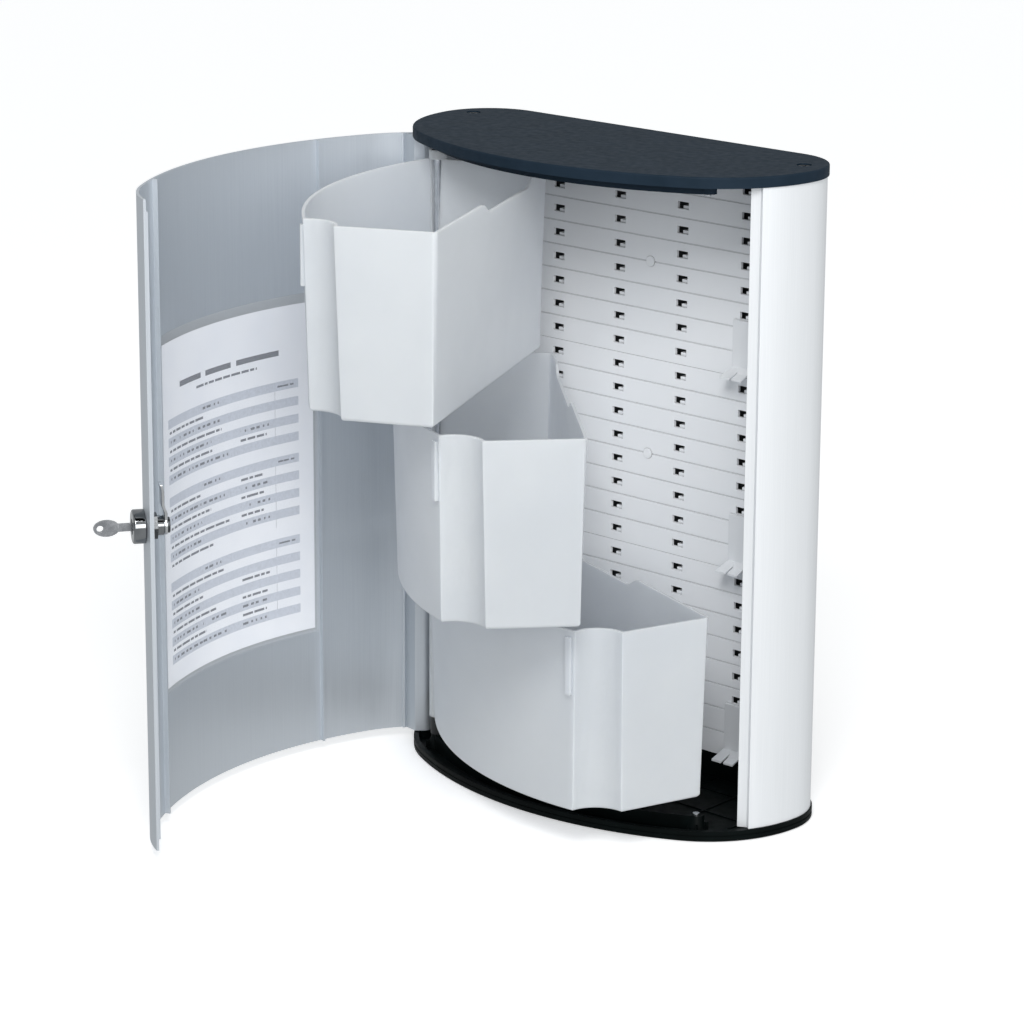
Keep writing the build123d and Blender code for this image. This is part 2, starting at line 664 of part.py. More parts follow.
def door_panel():
    """The whole door extrusion with its lock hole."""
    free = (CORNER_X + FAR * cos(radians(DOOR_FREE_ANGLE)), CORNER_Y - FAR * sin(radians(DOOR_FREE_ANGLE)))
    hinge = corner_point(FAR, PIN_ANGLE, -1)
    corners = [(-CORNER_X, CORNER_Y), hinge, (-FAR, -FAR), (FAR, -FAR), free, (CORNER_X, CORNER_Y)]
    skin = ring(SKIN_INSET, SKIN) & polygon(*corners)
    section = skin + hinge_tube() + front_rib(LEFT_RIB_X) + front_rib(RIGHT_RIB_X)
    section -= Pos(*PIN) * Circle(BUSH_RADIUS + SEAT_GAP)
    low = CAP_RIM_HEIGHT + DOOR_END_GAP
    high = HEIGHT - CAP_RIM_HEIGHT - DOOR_END_GAP
    bead_end = DOOR_FREE_ANGLE + BEAD_WIDTH * SKIN_DEGREE
    bead_zone = polygon(
        (CORNER_X, CORNER_Y), corner_point(FAR, DOOR_FREE_ANGLE), corner_point(FAR, bead_end)
    )
    bead = ring(SKIN_INSET + SKIN / 2, BEAD_WALL - SKIN / 2) & bead_zone
    door = prism(section, low, high) + prism(bead, low + BEAD_CUT_BACK, high - BEAD_CUT_BACK)
    return door - on_lock(drum(BODY_RADIUS + BODY_HOLE_GAP, -BODY_LENGTH, ROSETTE_LENGTH))


def hinge_pin():
    """The lower hinge pin, seated in the cap and standing up into the door."""
    low = CAP_RIM_HEIGHT - PIN_SEAT
    return upright(PIN, PIN_RADIUS, low, low + PIN_LENGTH)


def hinge_bush():
    """The lower hinge bush, in the end of the door's tube with a thin flange under it."""
    low = CAP_RIM_HEIGHT + DOOR_END_GAP - SEAT_GAP
    bush = upright(PIN, BUSH_RADIUS, low, low + BUSH_LENGTH)
    bush += upright(PIN, BUSH_FLANGE_RADIUS, low - BUSH_FLANGE, low)
    return bush - upright(PIN, PIN_RADIUS + RUNNING_GAP, 0, low + BUSH_LENGTH + PAST)


def front_band(depth, wall, left, right, low, high):
    """A curved sheet inside the door's front arc, at a depth behind the skin, between two arc lengths."""
    outer = FRONT_RADIUS - SKIN_INSET - SKIN - depth
    start = degrees(left / outer) - 90
    end = degrees(right / outer) - 90
    centre = (0, FRONT_CENTRE_Y)
    outer_arc = CenterArc(centre, outer, start, end - start)
    inner_arc = CenterArc(centre, outer - wall, start, end - start)
    edges = [outer_arc, Line(outer_arc @ 1, inner_arc @ 1), inner_arc, Line(inner_arc @ 0, outer_arc @ 0)]
    return prism(make_face(edges), low, high)


def pocket_middle():
    """The arc length at the middle between the door's two ribs."""
    return (LEFT_RIB_X + RIGHT_RIB_X) / 2


def document_pocket():
    """A flat film sleeve, open at the top, welded at its other edges."""
    side = SHEET_WIDTH / 2 + POCKET_MARGIN
    middle = pocket_middle()
    low = SHEET_BOTTOM - POCKET_MARGIN
    high = SHEET_BOTTOM + SHEET_HEIGHT + 2 * POCKET_MARGIN
    sleeve = front_band(POCKET_GAP, 2 * FILM + POCKET_CAVITY, middle - side, middle + side, low, high)
    inner = side - POCKET_SEAM
    cavity_depth = POCKET_GAP + FILM
    foot = low + POCKET_SEAM
    cavity = front_band(cavity_depth, POCKET_CAVITY, middle - inner, middle + inner, foot, high + PAST)
    return sleeve - cavity


def contents_sheet():
    """The paper sheet in the pocket."""
    depth = POCKET_GAP + FILM + (POCKET_CAVITY - SHEET_THICKNESS) / 2
    middle = pocket_middle()
    half = SHEET_WIDTH / 2
    top = SHEET_BOTTOM + SHEET_HEIGHT
    return front_band(depth, SHEET_THICKNESS, middle - half, middle + half, SHEET_BOTTOM, top)


def drum(radius, low, high):
    """A cylinder on the lock's axis."""
    return Pos(0, 0, (low + high) / 2) * Cylinder(radius, high - low)


def lock_housing():
    """The rosette outside and the threaded body through the door, bored for the plug."""
    rosette = drum(ROSETTE_RADIUS, 0, ROSETTE_LENGTH)
    rosette = fillet(rosette.edges().group_by(Axis.Z)[-1], ROSETTE_ROUND)
    housing = rosette + drum(BODY_RADIUS, -BODY_LENGTH, 0)
    return housing - drum(PLUG_RADIUS + RUNNING_GAP, -BODY_LENGTH - PAST, ROSETTE_LENGTH + PAST)


def lock_washer():
    """The dark washer inside the door."""
    ring_shape = drum(WASHER_RADIUS, -WASHER_DEPTH - WASHER_THICKNESS, -WASHER_DEPTH)
    return ring_shape - drum(BODY_RADIUS + RUNNING_GAP, -BODY_LENGTH, 0)


def lock_nut():
    """The hexagonal nut on the threaded body."""
    top = -WASHER_DEPTH - WASHER_THICKNESS
    hexagon = RegularPolygon(NUT_FLATS / 2, 6, major_radius=False)
    nut = Pos(0, 0, top - NUT_THICKNESS) * extrude(hexagon, amount=NUT_THICKNESS, dir=(0, 0, 1))
    return nut - drum(BODY_RADIUS + RUNNING_GAP, -BODY_LENGTH, 0)


def key_blade(gap):
    """The blade's straight prism from the plug's front face inwards, grown by a gap for the keyway."""
    front = ROSETTE_LENGTH - PLUG_RECESS
    low = front - KEY_BLADE_DEPTH - gap
    width = KEY_THICKNESS + 2 * gap
    height = KEY_BLADE_HEIGHT + 2 * gap
    return block(-width / 2, width / 2, -height / 2, height / 2, low, front + (PAST if gap else 0))


def lock_plug():
    """The turning plug with its keyway, cam tang and screw hole."""
    hub = -BODY_LENGTH - HUB_GAP
    tang_end = hub - CAM_WALL
    plug = drum(PLUG_RADIUS, hub, ROSETTE_LENGTH - PLUG_RECESS)
    plug += block(-TANG_WIDTH / 2, TANG_WIDTH / 2, -TANG_WIDTH / 2, TANG_WIDTH / 2, tang_end, hub)
    plug -= key_blade(KEYWAY_GAP)
    return plug - drum(CAM_SCREW_RADIUS, tang_end - PAST, tang_end + CAM_SCREW_DEPTH)


def lock_cam():
    """The cranked cam, pointing up: hub on the tang, step towards the skin, bent tip."""
    back = -BODY_LENGTH - HUB_GAP - CAM_WALL
    profile = [
        (-CAM_HUB_RADIUS, back),
        (CAM_CRANK_START, back),
        (CAM_CRANK_END, back + CAM_CRANK),
        (CAM_TIP_START, back + CAM_CRANK),
        (CAM_LENGTH, back + CAM_CRANK + CAM_TIP_BEND),
    ]
    front = [(y, z + CAM_WALL) for y, z in reversed(profile)]
    side = Plane(origin=(-CAM_HUB_RADIUS, 0, 0), x_dir=(0, 1, 0), z_dir=(1, 0, 0))
    strip = extrude(side * polygon(*profile, *front), amount=2 * CAM_HUB_RADIUS, dir=(1, 0, 0))
    arm = plan_block(-CAM_WIDTH / 2, CAM_WIDTH / 2, 0, CAM_LENGTH + PAST)
    face = Circle(CAM_HUB_RADIUS) + arm - Rectangle(TANG_WIDTH + 2 * SEAT_GAP, TANG_WIDTH + 2 * SEAT_GAP)
    return strip & prism(face, 2 * back, 0)


def cam_screw():
    """The screw that holds the cam on the plug's tang."""
    tang_end = -BODY_LENGTH - HUB_GAP - CAM_WALL
    head = drum(CAM_SCREW_HEAD_RADIUS, tang_end - CAM_SCREW_HEAD, tang_end)
    return head + drum(CAM_SCREW_RADIUS, tang_end, tang_end + CAM_SCREW_DEPTH)


def key():
    """The key, seated in the plug: blade, neck and an oval bow with a ring hole."""
    front = ROSETTE_LENGTH - PLUG_RECESS
    neck_end = front + KEY_NECK_LENGTH
    half_thick = KEY_THICKNESS / 2
    half_high = KEY_NECK_HEIGHT / 2
    neck = block(-half_thick, half_thick, -half_high, half_high, front, neck_end + PAST)
    side = Plane(origin=(-KEY_BOW_THICKNESS / 2, 0, 0), x_dir=(0, 1, 0), z_dir=(1, 0, 0))
    middle = neck_end + KEY_BOW_LENGTH / 2
    oval = Pos(0, middle) * Ellipse(KEY_BOW_HEIGHT / 2, KEY_BOW_LENGTH / 2)
    ring_hole = Pos(0, middle + KEY_BOW_LENGTH / 4) * Circle(KEY_HOLE_RADIUS)
    bow = extrude(side * (oval - ring_hole), amount=KEY_BOW_THICKNESS, dir=(1, 0, 0))
    return key_blade(0) + neck + bow


def tray_outline():
    """A tray's rim in plan, swung in: straight back, right wall, flute, front arc, left end."""
    radius = FRONT_RADIUS - TRAY_INSET
    front_y = FRONT_CENTRE_Y - sqrt(radius**2 - TRAY_FRONT_X**2)
    rod_front_y = FRONT_CENTRE_Y - sqrt(radius**2 - ROD_X**2)
    back_right = (TRAY_RIGHT_X, TRAY_BACK_Y)
    ridge = corner_point(CORNER_RADIUS - TRAY_RIDGE_DEPTH, TRAY_RIDGE_ANGLE)
    front = (TRAY_FRONT_X, front_y)
    rod_side = (ROD_X, rod_front_y)
    back_left = (TRAY_LEFT_X, TRAY_BACK_Y)
    chord_x = front[0] - ridge[0]
    chord_y = front[1] - ridge[1]
    chord = sqrt(chord_x**2 + chord_y**2)
    flute_middle = (
        (ridge[0] + front[0]) / 2 + FLUTE_DEPTH * chord_y / chord,
        (ridge[1] + front[1]) / 2 - FLUTE_DEPTH * chord_x / chord,
    )
    face = make_face(
        [
            Line(back_left, back_right),
            Line(back_right, ridge),
            ThreePointArc(ridge, flute_middle, front),
            ThreePointArc(front, (0, FRONT_CENTRE_Y - radius), rod_side),
            Line(rod_side, back_left),
        ]
    )
    corners = face.vertices().group_by(Axis.Y)[-1]
    return fillet(corners, TRAY_CORNER)


def tray_bottom(number):
    """The height of a tray's underside."""
    return section_bottom(number) + TRAY_FOOT_STEP


def sleeve_bottom(number):
    """The height of the lower end of a tray's sleeve."""
    return section_bottom(number) + SLEEVE_STEP + SLEEVE_GAP / 2


def sleeve_top(number):
    """The height of the upper end of a tray's sleeve."""
    return section_bottom(number + 1) + SLEEVE_STEP - SLEEVE_GAP / 2


def rim_notch(rim):
    """The lowered stretch of a tray's back rim, with curved ends."""
    low = rim - NOTCH_DEPTH
    flat = (1, 0)
    left = Spline((NOTCH_LEFT_START, rim), (NOTCH_LEFT_END, low), tangents=(flat, flat))
    right = Spline((NOTCH_RIGHT_START, low), (NOTCH_RIGHT_END, rim), tangents=(flat, flat))
    top = rim + PAST
    edges = [
        left,
        Line(left @ 1, right @ 0),
        right,
        Line(right @ 1, (NOTCH_RIGHT_END, top)),
        Line((NOTCH_RIGHT_END, top), (NOTCH_LEFT_START, top)),
        Line((NOTCH_LEFT_START, top), left @ 0),
    ]
    front = TRAY_BACK_Y - TRAY_CORNER - TRAY_WALL
    wall = Plane(origin=(0, front, 0), x_dir=(1, 0, 0), z_dir=(0, -1, 0))
    return extrude(wall * make_face(edges), amount=TRAY_CORNER + TRAY_WALL + PAST, dir=(0, 1, 0))


def grip(rim):
    """The small upright finger rib at the flute's left edge."""
    top = rim - GRIP_DROP
    radius = FRONT_RADIUS - TRAY_INSET
    x = TRAY_FRONT_X - GRIP_WIDTH
    y = FRONT_CENTRE_Y - sqrt(radius**2 - x**2)
    turn = degrees(asin(x / radius))
    rib = plan_block(-GRIP_WIDTH / 2, GRIP_WIDTH / 2, -GRIP_PROUD, TRAY_WALL)
    return prism(Pos(x, y) * Rot(0, 0, turn) * rib, top - GRIP_HEIGHT, top)


def swing_tray(number):
    """One tray, swung in: drafted tub, sleeve on the rod, rim notch and finger rib."""
    bottom = tray_bottom(number)
    rim = bottom + TRAY_HEIGHT
    taper = degrees(atan(TRAY_DRAFT / TRAY_HEIGHT))
    top_face = tray_outline()
    inner_face = offset(top_face, amount=-TRAY_WALL, kind=Kind.INTERSECTION)
    outer = Pos(0, 0, rim) * extrude(top_face, amount=-TRAY_HEIGHT, taper=taper)
    outer = fillet(outer.edges().group_by(Axis.Z)[0], TRAY_FOOT_ROUND)
    inner = Pos(0, 0, rim) * extrude(inner_face, amount=-(TRAY_HEIGHT - TRAY_WALL), taper=taper)
    tub = outer + upright(ROD, SLEEVE_RADIUS, sleeve_bottom(number), sleeve_top(number)) - inner
    tub += grip(rim)
    tub -= rim_notch(rim)
    return tub - upright(ROD, SLEEVE_BORE + SEAT_GAP, 0, HEIGHT)


def tray_bushes(number):
    """The two dark bushes in the ends of a tray's sleeve."""
    low = sleeve_bottom(number)
    high = sleeve_top(number)
    pieces = []
    for start in (low, high - TRAY_BUSH_LENGTH):
        end = start + TRAY_BUSH_LENGTH
        bush = upright(ROD, SLEEVE_BORE, start, end)
        pieces.append(bush - upright(ROD, ROD_RADIUS + RUNNING_GAP, start - PAST, end + PAST))
    return solids(pieces)


def swing_out(shape, angle):
    """Turns a tray's piece about the rod to its photographed swing."""
    rod = Pos(*ROD, 0)
    return rod * Rot(0, 0, -angle) * rod.inverse() * shape


def tray_rod():
    """The upright steel rod between the two caps' bosses."""
    return upright(ROD, ROD_RADIUS, ROD_SEAT, HEIGHT - ROD_SEAT)


def rod_spacer():
    """The tube on the lower boss that carries the stack of sleeves."""
    low = CAP_PLATE + BOSS_HEIGHT
    high = sleeve_bottom(0) - SLEEVE_GAP / 2
    return upright(ROD, SPACER_RADIUS, low, high) - upright(ROD, ROD_RADIUS + RUNNING_GAP, 0, high + PAST)


def spare_pin():
    """The pin that fills the bore of the unused boss, drawn at the bottom cap."""
    top = CAP_PLATE + BOSS_HEIGHT
    return upright((-ROD_X, ROD_Y), ROD_RADIUS, ROD_SEAT, top + SPARE_PIN_PROUD)


# Cabinet
write("top_cap", mirrored(cap(False, False)))
write("bottom_cap", cap(True, True))
write("right_side_profile", right_side_profile())
write("left_side_profile", left_side_profile())
for number, level in enumerate(LEVELS):
    write(f"back_panel_{level}", back_panel(number))
    write(f"back_liner_{level}", back_liner(number))
    write(f"tray_catch_{level}", tray_catch(number))
write("screw_hole_caps", solids([hole_cap(number) for number in range(len(LEVELS))]))
bottom_screws = [cap_screw(x) for x in (-CAP_SCREW_X, CAP_SCREW_X)]
write("bottom_cap_screws", solids(bottom_screws))
write("top_cap_screws", solids([mirrored(screw) for screw in bottom_screws]))
write("tray_rod", tray_rod())
write("rod_spacer", rod_spacer())
write("spare_boss_pins", solids([spare_pin(), mirrored(spare_pin())]))
write("door_hinge_pins", solids([hinge_pin(), mirrored(hinge_pin())]))

# Door and lock
write("door_panel", open_door(door_panel()))
write("door_hinge_bushes", open_door(solids([hinge_bush(), mirrored(hinge_bush())])))
write("document_pocket", open_door(document_pocket()))
write("contents_sheet", open_door(contents_sheet()))
write("lock_housing", open_door(on_lock(lock_housing())))
write("lock_washer", open_door(on_lock(lock_washer())))
write("lock_nut", open_door(on_lock(lock_nut())))
write("lock_plug", open_door(on_lock(lock_plug())))
write("lock_cam", open_door(on_lock(lock_cam())))
write("cam_screw", open_door(on_lock(cam_screw())))
write("key", open_door(on_lock(key())))

# Swing trays
for number, level in enumerate(LEVELS):
    swing = TRAY_SWING[level]
    write(f"{level}_tray", swing_out(swing_tray(number), swing))
    write(f"{level}_tray_bushes", swing_out(tray_bushes(number), swing))
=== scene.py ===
"""Medicine cabinet: looks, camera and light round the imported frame. Metres, in the row frame."""

import json
import math
import random

import bmesh
import bpy
from mathutils import Matrix, Vector


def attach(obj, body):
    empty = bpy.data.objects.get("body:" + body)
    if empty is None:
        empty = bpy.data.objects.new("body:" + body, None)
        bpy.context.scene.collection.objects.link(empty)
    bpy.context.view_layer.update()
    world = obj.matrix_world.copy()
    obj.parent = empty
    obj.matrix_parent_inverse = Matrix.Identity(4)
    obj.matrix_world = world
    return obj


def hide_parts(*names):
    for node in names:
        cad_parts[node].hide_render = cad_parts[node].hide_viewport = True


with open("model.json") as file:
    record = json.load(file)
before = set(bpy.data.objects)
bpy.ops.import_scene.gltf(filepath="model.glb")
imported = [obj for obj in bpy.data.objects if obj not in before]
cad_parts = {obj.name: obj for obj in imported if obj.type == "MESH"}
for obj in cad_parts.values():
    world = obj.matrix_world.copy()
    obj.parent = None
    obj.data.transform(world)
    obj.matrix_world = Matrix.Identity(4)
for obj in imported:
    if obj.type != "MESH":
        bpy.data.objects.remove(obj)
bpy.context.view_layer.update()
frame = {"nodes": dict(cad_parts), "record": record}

# Camera at the photograph's viewing angle
CAMERA_PLACE = Vector((1.3445, -1.6299, 0.5728))
CAMERA_AZIMUTH = math.radians(41.979)
CAMERA_ELEVATION = math.radians(14.3825)
CAMERA_ROLL = math.radians(0.309)
FOCAL_PIXELS = 3530.1
FRAME_PIXELS = 1024
SENSOR = 36.0
SHIFT_PIXELS = -112.0
CLIP_NEAR = 0.05
CLIP_FAR = 100.0

# Sizes of the part, as its source has them
FLOOR_LEVEL = -0.2
FRONT_RADIUS = 0.225
FRONT_CENTRE = Vector((0.0, 0.095))
DOOR_PIN = Vector((-0.126961, -0.07696))
DOOR_OPEN = math.radians(83.7)
DOOR_SKIN_DEPTH = 0.0026
POCKET_MIDDLE = 0.007
SHEET_WIDTH = 0.148
SHEET_HEIGHT = 0.210
SHEET_BOTTOM = -0.117
SHEET_DEPTH = 0.00065
SHEET_THICKNESS = 0.00022

WHITE = (1.0, 1.0, 1.0)
NO_SHADE = 1.0


# Materials

NOISE_LOW = 0.3
NOISE_HIGH = 0.7
CREVICE_SAMPLES = 8
INK_SPREAD = 1.15


class Look:
    """A node material with one Principled shader, built up step by step."""

    def __init__(self, name, colour, roughness, metallic=0.0):
        self.material = bpy.data.materials.new(name)
        self.material.use_nodes = True
        self.tree = self.material.node_tree
        self.tree.nodes.clear()
        self.shader = self.tree.nodes.new("ShaderNodeBsdfPrincipled")
        output = self.tree.nodes.new("ShaderNodeOutputMaterial")
        self.tree.links.new(self.shader.outputs["BSDF"], output.inputs["Surface"])
        self.set("Base Color", (*colour, 1.0))
        self.set("Roughness", roughness)
        self.set("Metallic", metallic)
        self.height = None

    def set(self, socket, value):
        """A constant on one of the shader's sockets."""
        self.shader.inputs[socket].default_value = value

    def glow(self, colour, strength):
        """Weak even light from the surface itself."""
        self.set("Emission Color", (*colour, 1.0))
        self.set("Emission Strength", strength)

    def noise(self, scale, stretch=(1.0, 1.0, 1.0), detail=4.0):
        """Noise fixed to the piece, finer or longer along each axis."""
        coordinates = self.tree.nodes.new("ShaderNodeTexCoord")
        mapping = self.tree.nodes.new("ShaderNodeMapping")
        mapping.inputs["Scale"].default_value = stretch
        texture = self.tree.nodes.new("ShaderNodeTexNoise")
        texture.inputs["Scale"].default_value = scale
        texture.inputs["Detail"].default_value = detail
        self.tree.links.new(coordinates.outputs["Object"], mapping.inputs["Vector"])
        self.tree.links.new(mapping.outputs["Vector"], texture.inputs["Vector"])
        return texture.outputs["Fac"]

    def ramp(self, factor, low, high, dark, light):
        """Two colours mixed by a factor between two stops."""
        ramp = self.tree.nodes.new("ShaderNodeValToRGB")
        first, last = ramp.color_ramp.elements
        first.position = low
        first.color = (*dark, 1.0)
        last.position = high
        last.color = (*light, 1.0)
        self.tree.links.new(factor, ramp.inputs["Fac"])
        return ramp.outputs["Color"]

    def tint(self, factor, dark, light, low=0.35, high=0.65):
        """Base colour that varies between two tones."""
        self.tree.links.new(self.ramp(factor, low, high, dark, light), self.shader.inputs["Base Color"])

    def gloss_range(self, factor, low_value, high_value):
        """Roughness that varies between two values."""
        spread = self.tree.nodes.new("ShaderNodeMapRange")
        spread.inputs["From Min"].default_value = NOISE_LOW
        spread.inputs["From Max"].default_value = NOISE_HIGH
        spread.inputs["To Min"].default_value = low_value
        spread.inputs["To Max"].default_value = high_value
        self.tree.links.new(factor, spread.inputs["Value"])
        self.tree.links.new(spread.outputs["Result"], self.shader.inputs["Roughness"])

    def painted_crevice_shade(self, reach, shade):
        """Paints shade into the base colour in grooves and corners closer than reach."""
        socket = self.shader.inputs["Base Color"]
        colour = socket.links[0].from_socket
        corner = self.tree.nodes.new("ShaderNodeAmbientOcclusion")
        corner.inputs["Distance"].default_value = reach
        corner.samples = CREVICE_SAMPLES
        mix = self.tree.nodes.new("ShaderNodeMix")
        mix.data_type = "RGBA"
        mix.blend_type = "MULTIPLY"
        mix.inputs["Factor"].default_value = 1.0
        # Painted shade: the occlusion factor darkens the colour where grooves and corners would be shaded
        dark = self.ramp(corner.outputs["AO"], low=0.35, high=0.95, dark=(shade,) * 3, light=WHITE)
        self.tree.links.new(colour, mix.inputs["A"])
        self.tree.links.new(dark, mix.inputs["B"])
        self.tree.links.new(mix.outputs["Result"], socket)

    def bump(self, factor, strength, distance):
        """A bump layer on top of those before it."""
        node = self.tree.nodes.new("ShaderNodeBump")
        node.inputs["Strength"].default_value = strength
        node.inputs["Distance"].default_value = distance
        self.tree.links.new(factor, node.inputs["Height"])
        if self.height:
            self.tree.links.new(self.height, node.inputs["Normal"])
        self.height = node.outputs["Normal"]
        self.tree.links.new(self.height, self.shader.inputs["Normal"])


def anodised(name, dark, light, roughness, metallic):
    """Anodised extrusion: fine drawing lines along its length and a slow change of tone."""
    look = Look(name, light, roughness, metallic)
    lines = look.noise(160.0, stretch=(16.0, 16.0, 0.1), detail=6.0)
    look.tint(lines, dark, light, low=NOISE_LOW, high=NOISE_HIGH)
    look.gloss_range(lines, low_value=roughness - 0.05, high_value=roughness + 0.08)
    look.bump(lines, strength=0.06, distance=0.0001)
    look.bump(look.noise(2600.0), strength=0.05, distance=0.00005)
    return look


def grained_plastic(name, dark, light, roughness, grain, sheen):
    """Moulded plastic with a fine spark-eroded grain; sheen is its specular level."""
    look = Look(name, light, roughness)
    look.tint(look.noise(60.0), dark, light)
    look.set("Specular IOR Level", sheen)
    look.bump(look.noise(1500.0, detail=2.0), strength=grain, distance=0.0002)
    look.gloss_range(look.noise(220.0), low_value=roughness - 0.06, high_value=roughness + 0.06)
    return look


def satin_plastic(name, dark, light, roughness, shade=NO_SHADE):
    """Smooth moulded plastic with faint flow marks, and painted shade in its grooves where shade is under
    1.
    """
    look = Look(name, light, roughness)
    look.tint(look.noise(14.0), dark, light)
    if shade < NO_SHADE:
        # painted shade in grooves and corners
        look.painted_crevice_shade(reach=0.0015, shade=shade)
    look.bump(look.noise(700.0), strength=0.06, distance=0.0001)
    return look


def polished_metal(name, dark, light, roughness):
    """Plated metal with light handling marks."""
    look = Look(name, light, roughness, metallic=1.0)
    look.tint(look.noise(120.0), dark, light)
    smears = look.noise(260.0, detail=6.0)
    look.gloss_range(smears, low_value=roughness * 0.7, high_value=roughness * 1.4)
    look.bump(look.noise(1800.0), strength=0.04, distance=0.00005)
    return look


def translucent_tray():
    """Milky polypropylene: light passes dimly, the surface is lightly frosted, and a weak painted glow
    lifts its shaded insides.
    """
    look = Look("tray_milky", (0.74, 0.77, 0.80), roughness=0.42)
    look.tint(look.noise(9.0, detail=5.0), dark=(0.62, 0.655, 0.70), light=(0.68, 0.715, 0.755))
    look.set("Transmission Weight", 0.15)
    look.set("Subsurface Weight", 0.85)
    look.set("Subsurface Radius", (0.008, 0.008, 0.0085))
    look.set("Subsurface Scale", 1.0)
    # Painted light: a weak glow, standing in for light scattered through the milky walls, lifts the shade
    # inside the trays
    look.glow((0.93, 0.965, 1.0), strength=0.035)
    look.set("IOR", 1.49)
    look.bump(look.noise(900.0), strength=0.05, distance=0.0001)
    look.gloss_range(look.noise(30.0), low_value=0.36, high_value=0.5)
    return look


def clear_film():
    """Thin clear film of the pocket with faint waves."""
    look = Look("pocket_film_clear", (0.93, 0.95, 0.97), roughness=0.12)
    look.set("Alpha", 0.07)
    look.set("IOR", 1.5)
    look.bump(look.noise(14.0, stretch=(1.0, 1.0, 0.5)), strength=0.2, distance=0.0004)
    return look


def paper():
    """White paper with a fine fibre relief."""
    look = Look("sheet_paper_white", (0.86, 0.875, 0.92), roughness=0.75)
    look.tint(look.noise(40.0), dark=(0.88, 0.90, 0.95), light=(0.92, 0.935, 0.975))
    look.bump(look.noise(900.0, detail=6.0), strength=0.15, distance=0.00005)
    return look


def print_ink(name, colour):
    """Matt ink that is a little lighter in places."""
    look = Look(name, colour, roughness=0.7)
    lighter = tuple(min(1.0, part * INK_SPREAD) for part in colour)
    look.tint(look.noise(700.0), dark=colour, light=lighter)
    return look


# Each slot's look: name, darker tone, lighter tone, roughness, then what else the finish needs
looks = {
    "cap_graphite": grained_plastic(
        "cap_graphite_grain", (0.009, 0.019, 0.031), (0.012, 0.023, 0.037), 0.58, grain=0.12, sheen=0.09
    ),
    "cap_black": grained_plastic(
        "cap_black_grain", (0.001, 0.002, 0.002), (0.002, 0.004, 0.004), 0.45, grain=0.2, sheen=0.06
    ),
    "profile_silver": anodised(
        "profile_silver_drawn", (0.78, 0.80, 0.82), (0.82, 0.84, 0.86), 0.42, metallic=0.3
    ),
    "door_silver": anodised(
        "door_silver_drawn", (0.56, 0.60, 0.645), (0.61, 0.65, 0.69), 0.42, metallic=0.6
    ),
    # The panel's grooves and corners get painted shade (shade 0.35)
    "panel_white": satin_plastic(
        "panel_white_satin", (0.90, 0.92, 0.945), (0.93, 0.945, 0.965), 0.42, shade=0.35
    ),
    # The liner's near-black tone is painted shade, for the shaded cavity seen through the panel's slots
    "liner_grey": satin_plastic("liner_painted_shade", (0.05, 0.055, 0.06), (0.07, 0.075, 0.08), 0.6),
    "catch_white": satin_plastic("catch_white_satin", (0.80, 0.82, 0.845), (0.84, 0.86, 0.88), 0.4),
    "screw_steel": polished_metal("screw_steel_plated", (0.10, 0.105, 0.11), (0.18, 0.185, 0.19), 0.3),
    "rod_steel": polished_metal("rod_steel_drawn", (0.62, 0.64, 0.66), (0.75, 0.77, 0.79), 0.18),
    "bush_black": satin_plastic("bush_black_satin", (0.008, 0.009, 0.01), (0.016, 0.017, 0.018), 0.4),
    # The lock chrome's dark tone is a painted reflection, standing for the dark surroundings it mirrors
    "lock_chrome": polished_metal("lock_chrome_dark_reflection", (0.24, 0.25, 0.26), (0.30, 0.31, 0.32), 0.06),
    "washer_black": satin_plastic("washer_black_satin", (0.02, 0.022, 0.024), (0.035, 0.037, 0.04), 0.35),
    "nut_steel": polished_metal("nut_steel_plated", (0.06, 0.065, 0.07), (0.12, 0.125, 0.13), 0.22),
    "cam_steel": polished_metal("cam_steel_plated", (0.60, 0.61, 0.62), (0.68, 0.69, 0.70), 0.15),
    "cam_screw_steel": polished_metal("cam_screw_black", (0.03, 0.032, 0.035), (0.08, 0.085, 0.09), 0.3),
    "key_steel": polished_metal("key_steel_plated", (0.36, 0.37, 0.39), (0.48, 0.49, 0.51), 0.25),
    "pocket_film": clear_film(),
    "sheet_paper": paper(),
    "tray_translucent": translucent_tray(),
}
print_grey = print_ink("print_grey", (0.55, 0.58, 0.65))
print_dark = print_ink("print_dark", (0.16, 0.17, 0.20))


# CAD nodes: materials, smooth shading and small edge rounds

BEVELS = {
    "door_panel": 0.00025,
    "lock_plug": 0.0003,
    "lock_housing": 0.0003,
    "lock_cam": 0.0004,
    "lock_nut": 0.0004,
    "lock_washer": 0.0003,
    "cam_screw": 0.0004,
    "key": 0.0004,
}
DRUMS = ("lock_housing", "lock_plug", "lock_washer", "lock_nut", "cam_screw")
TRAY_BEVEL = 0.0005
CATCH_BEVEL = 0.0002
HAIR_BEVEL = 0.00012
FACE_WEIGHT = 100
WELD_REACH = 0.000002
SMOOTH_ANGLE = math.radians(32.0)
DRUM_ANGLE = math.radians(50.0)


def join_corners(piece):
    """Joins a CAD node's split corners, so that its shading runs on over smooth faces."""
    weld = piece.modifiers.new("weld", "WELD")
    weld.merge_threshold = WELD_REACH


def soften(piece, width, segments=2, angle=SMOOTH_ANGLE):
    """A small round on a CAD node's edges that are sharper than an angle."""
    bevel = piece.modifiers.new("round", "BEVEL")
    bevel.width = width
    bevel.segments = segments
    bevel.limit_method = "ANGLE"
    bevel.angle_limit = angle


def even_normals(piece):
    """Large faces decide the shading, so flat walls stay flat up to their rounds."""
    normals = piece.modifiers.new("normals", "WEIGHTED_NORMAL")
    normals.weight = FACE_WEIGHT
    normals.keep_sharp = True


